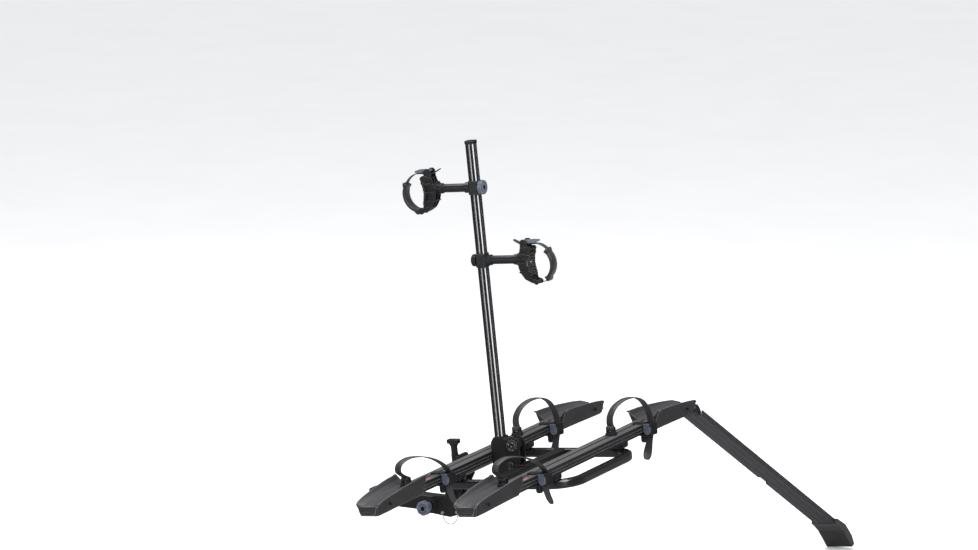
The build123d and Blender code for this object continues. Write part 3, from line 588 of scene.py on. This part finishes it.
# number: foot x, foot y, path, twist of the tail in radians
WHEEL_STRAPS = {
    1: (LEFT_X, TRAY_IN_Y, LEFT_PATH, 0.0),
    2: (LEFT_X, TRAY_OUT_Y, LEFT_PATH, 0.0),
    3: (RIGHT_X, TRAY_IN_Y, RIGHT_PATH, 0.95),
    4: (RIGHT_X, TRAY_OUT_Y, RIGHT_PATH, 0.95),
}
WHEEL_EYE = [   # radius, across
    (3.1, -14.0), (8.6, -14.0), (9.6, -13.0), (9.6, -5.0), (9.0, -4.2),
    (9.0, 4.2), (9.6, 5.0), (9.6, 13.0), (8.6, 14.0), (3.1, 14.0),
]


def wheel_strap_place(foot_x, foot_y):
    c, s = math.cos(HEADING), math.sin(HEADING)

    def place(along, z, across):
        return plat(foot_x + along * c - across * s, foot_y + along * s + across * c, z)
    return place


def wheel_strap(number, foot_x, foot_y, points, twist):
    place = wheel_strap_place(foot_x, foot_y)
    section = strap_section(width=28.0, thick=2.5, pitch=6.6, tooth=0.75, taper=22.0,
                            plain_to=40.0, boot=34.0)
    strap = sweep(f"wheel_strap_ribbed_{number}", smooth_curve(points, step=1.1),
                  twisted(section, twist, over=66.0), place, FINISHES["strap"])
    hand_over(strap, f"strap_{number}", f"wheel_strap_{number}")
    eye = strap_eye(f"wheel_strap_eye_{number}", WHEEL_EYE, (0, ANCHOR_Z), place, start=-1.2)
    hand_over(eye, f"strap_{number}")


for number, spec in WHEEL_STRAPS.items():
    wheel_strap(number, *spec)


# ------------------------------------------------------------ frame clamps
# name: side of the mast it reaches to in Y, height, padding arc in degrees
CLAMPS = {"upper": (1, 869.0, (-80, 34)), "lower": (-1, 630.0, (-56, 50))}
# In a clamp's plane: (distance from the mast, z from the clamp's height).
GRIP = (200.0, -15.0)
LADDER_RADIUS = 61.8
PAD_RADIUS = 57.0
PIN = (198.0, -74.0)
PIN_TO_STRAP = 125.0
HOLLOW = (176.0, -11.0)     # bottom of the liner's hollow
LADDER_PATH = (
    [(199.5, -78.4)]
    + arc(GRIP, LADDER_RADIUS, start=-76, end=42, count=6)
    + [(237.5, 36.0), (225, 45.0)]
    + arc(PIN, PIN_TO_STRAP, start=84, end=104, count=3)
    + [(152.0, 49.6), (138.0, 55.6), (121.0, 65.0)]
)
LADDER_EYE = [  # radius, across
    (3.1, -13.5), (5.7, -13.5), (6.3, -12.6), (6.3, -8.6), (5.8, -8.0),
    (5.8, 8.0), (6.3, 8.6), (6.3, 12.6), (5.7, 13.5), (3.1, 13.5),
]
SCREW_PROFILE = [   # radius, distance from the mast
    (0.01, 175.5), (1.9, 175.5), (2.1, 179.4), (2.4, 180.6), (4.6, 180.8), (5.2, 180.2),
    (5.4, 178.6), (8.4, 178.4), (8.6, 177.6), (8.6, 173.0), (0.01, 173.0),
]
SOCKET_POINTS = (1, 2)      # profile points on the hexagonal socket wall


def clamp_place(name):
    side, height, _ = CLAMPS[name]

    def place(along, z, across):
        return plat(across * side, MAST_Y + side * along, height + z)
    return place


def pad_section(s, length):
    """Padded band: crowned outside, grooved inside, thicker at both ends."""
    u = s / length
    end = min(u, 1 - u)
    flare = max(0.0, 1 - end / 0.11) ** 0.6
    half = 17.0 - 1.2 * max(0.0, 1 - abs(end - 0.12) / 0.08)    # waisted near each end
    groove = 0.45 * math.sin(s * math.tau / 7.0) if end >= 0.1 else 0
    inside = 5.2 + 1.6 * flare + groove
    outside = -6.8 - 5.0 * flare
    steps = [-1 + q / 4 for q in range(9)]
    ring = [(inside - f * f, half * f) for f in steps]
    ring.append((0.0, half + 0.4))
    ring += [(outside + 1.8 * f * f * (1 - flare), half * f * 0.98) for f in reversed(steps)]
    ring.append((0.0, -half - 0.4))
    return ring


def clamp_straps(name):
    place = clamp_place(name)
    # from the hinge pin round the grip and over the top
    section = strap_section(width=20.0, thick=2.2, pitch=5.2, tooth=0.6, taper=16.0,
                            plain_to=118.0)
    strap = sweep(f"{name}_clamp_ladder_strap", smooth_curve(LADDER_PATH, step=0.9),
                  flipped(section), place, FINISHES["strap"])
    hand_over(strap, f"{name}_hoop", f"{name}_clamp_strap")
    eye = strap_eye(f"{name}_clamp_strap_eye", LADDER_EYE, PIN, place)
    hand_over(eye, f"{name}_hoop")
    # padded band inside the strap
    start, end = CLAMPS[name][2]
    path = resample(arc(GRIP, PAD_RADIUS, start, end, count=70), step=1.2)
    pad = sweep(f"{name}_clamp_padding", path, pad_section, place, FINISHES["pad"])
    hand_over(pad, f"{name}_hoop", f"{name}_clamp_pad")


def liner_finish(name, centre):
    """Rubber with concentric moulded ridges about a point, their crests lightened as a painted
    highlight.
    """
    ridge_pitch, ridge_depth = 0.0085, 0.0016   # metres
    crest_highlight_share = 0.75
    look = finish(f"ringed_liner_{name}", base=(0.0085, 0.0085, 0.009), rough=0.50, grain=1100,
                  grain_bump=0.20, edge=0.4, edge_col=(0.10, 0.10, 0.102), cells=1200)
    x, z = look.offsets(tuple(centre), tuple(plat_dir(0, 0, 1)))
    radius = look.calc("SQRT", look.plus(look.times(x, x), look.times(z, z)))
    wave = look.calc("SINE", look.times(radius, math.tau / ridge_pitch))
    look.normal = look.bump(wave, ridge_depth, look.normal)
    highlit_crests = look.ramp(wave, start=0.72, end=0.98)
    # painted highlight on the ridge crests
    look.paint(look.times(highlit_crests, crest_highlight_share), (0.13, 0.13, 0.133))
    look.connect()
    return look


def cradle_screw(name, place):
    """Socket-head screw in the bottom of the hollow."""
    segments, verts = 24, []
    sixth = math.pi / 3
    for i in range(segments):
        angle = i / segments * math.tau
        # radius of a hexagon over its inscribed circle, at this angle
        hexagon = 1 / math.cos((angle + sixth / 2) % sixth - sixth / 2)
        for j, (radius, along) in enumerate(SCREW_PROFILE):
            if j in SOCKET_POINTS:
                radius *= hexagon
            verts.append(place(along, HOLLOW[1] + radius * math.sin(angle),
                               radius * math.cos(angle)))
    faces = ring_faces(segments, len(SCREW_PROFILE), closed_profile=False)
    screw = mesh_piece(f"{name}_cradle_screw", verts, faces, FINISHES["zinc"], smooth=False)
    hand_over(screw, f"{name}_clamp")


for name in CLAMPS:
    clamp_straps(name)
for name in CLAMPS:
    place = clamp_place(name)
    liner = liner_finish(name, place(*HOLLOW, 0.0))
    for slot in NODES[f"{name}_clamp_liner"].material_slots:
        slot.material = liner.material
    cradle_screw(name, place)

# ------------------------------------------------------- plain red patches
PATCH_Z, PATCH_THICK = 0.05, 0.25
PATCHES = [     # name, x from, x to, y from, y to
    ("plain_patch_inner_near", -452, -422, TRAY_IN_Y - 30, TRAY_IN_Y - 17),
    ("plain_patch_inner_far", -402, -380, TRAY_IN_Y + 17, TRAY_IN_Y + 30),
    ("plain_patch_outer_near", -452, -422, TRAY_OUT_Y - 30, TRAY_OUT_Y - 17),
]


def patch(name, x0, x1, y0, y1):
    """Thin plain label with rounded corners on a tray's top face."""
    r = min(x1 - x0, y1 - y0) * 0.22
    corners = ((x1 - r, y1 - r, 0), (x0 + r, y1 - r, 90),
               (x0 + r, y0 + r, 180), (x1 - r, y0 + r, 270))
    outline = []
    for x, y, start in corners:
        for i in range(5):
            angle = math.radians(start + i * 22.5)
            outline.append((x + r * math.cos(angle), y + r * math.sin(angle)))
    verts = [plat(x, y, z) for z in (PATCH_Z, PATCH_Z + PATCH_THICK) for x, y in outline]
    n = len(outline)
    faces = [tuple(range(n - 1, -1, -1)), tuple(range(n, 2 * n))]
    for i in range(n):
        faces.append((i, (i + 1) % n, n + (i + 1) % n, n + i))
    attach(mesh_piece(name, verts, faces, FINISHES["patch"], smooth=False), "platform")


for spec in PATCHES:
    patch(*spec)

# ------------------------------------------------------------------- stage
FLOOR_HALF = 60.0
FLOOR_GAP = 0.001       # below the lowest CAD point


def floor_finish():
    """Pale floor that shows dark in reflections."""
    look = Surface("pale_floor")
    clouds = look.noise(look.mapped(), scale=3.0)
    pale = look.mix(clouds, (0.84, 0.84, 0.84), (0.89, 0.89, 0.89))
    look.inputs["Roughness"].default_value = 0.9
    glossy = look.add("LightPath").outputs["Is Glossy Ray"]
    look.feed(look.inputs["Base Color"], look.mix(glossy, pale, (0.16, 0.16, 0.165)))
    return look


def add_floor():
    look = floor_finish()
    z = Vector(CAD_BOX[0]).z - FLOOR_GAP
    mesh = bpy.data.meshes.new("floor")
    corners = [(x * FLOOR_HALF, y * FLOOR_HALF, z)
               for x, y in ((-1, -1), (1, -1), (1, 1), (-1, 1))]
    mesh.from_pydata(corners, [], [(0, 1, 2, 3)])
    floor = bpy.data.objects.new("floor", mesh)
    SCENE.collection.objects.link(floor)
    mesh.materials.append(look.material)


def add_world():
    """Bright to the eye, a dark studio in the reflections."""
    strength, glossy_change = 1.02, -0.88
    world = bpy.data.worlds.new("studio")
    SCENE.world = world
    world.use_nodes = True
    graph = Graph(world.node_tree)
    background = graph.tree.nodes["Background"]
    background.inputs[0].default_value = (0.97, 0.975, 1.0, 1)
    glossy = graph.add("LightPath").outputs["Is Glossy Ray"]
    change = graph.times(glossy, glossy_change)
    graph.feed(background.inputs[1], graph.plus(change, strength))


def area_light(name, location, target, size, power, size_y=None):
    light = bpy.data.lights.new(name, "AREA")
    light.energy = power
    light.size = size
    if size_y:
        light.shape = "RECTANGLE"
        light.size_y = size_y
    lamp = bpy.data.objects.new(name, light)
    SCENE.collection.objects.link(lamp)
    lamp.location = location
    lamp.rotation_mode = "QUATERNION"
    lamp.rotation_quaternion = (Vector(target) - Vector(location)).to_track_quat("-Z", "Y")


def add_camera():
    """Long lens, looking down a little from -X and -Y."""
    azimuth, elevation = math.radians(-62.5), math.radians(11.65)
    location = (-13.311, -7.124, 3.877)
    back = Vector((math.sin(azimuth) * math.cos(elevation),
                   -math.cos(azimuth) * math.cos(elevation), math.sin(elevation)))
    right = Vector((math.cos(azimuth), math.sin(azimuth), 0)).normalized()
    up = back.cross(right)
    data = bpy.data.cameras.new("camera")
    data.sensor_width = 36.0
    data.lens = 173.966871
    data.clip_start, data.clip_end = 1.0, 200.0
    camera = bpy.data.objects.new("camera", data)
    SCENE.collection.objects.link(camera)
    rows = list(zip(right, up, back, location))
    camera.matrix_world = Matrix((*rows, (0, 0, 0, 1)))
    SCENE.camera = camera


add_floor()
add_world()
LOW_AIM, HIGH_AIM = (0.1, -0.3, 0.2), (0.1, -0.3, 0.5)
area_light("key", (-2.5, -3.5, 4.5), LOW_AIM, size=2.4, power=260)
area_light("top", (0.5, 1.0, 5.0), LOW_AIM, size=3.0, power=260)
area_light("side", (-5.5, 1.2, 2.0), HIGH_AIM, size=0.8, power=80, size_y=3.5)
area_light("strip", (-3.2, -4.2, 1.4), HIGH_AIM, size=0.6, power=34, size_y=3.0)
add_camera()
SCENE.view_settings.view_transform = "Standard"
SCENE.view_settings.look = "None"
SCENE.view_settings.exposure = 0.0
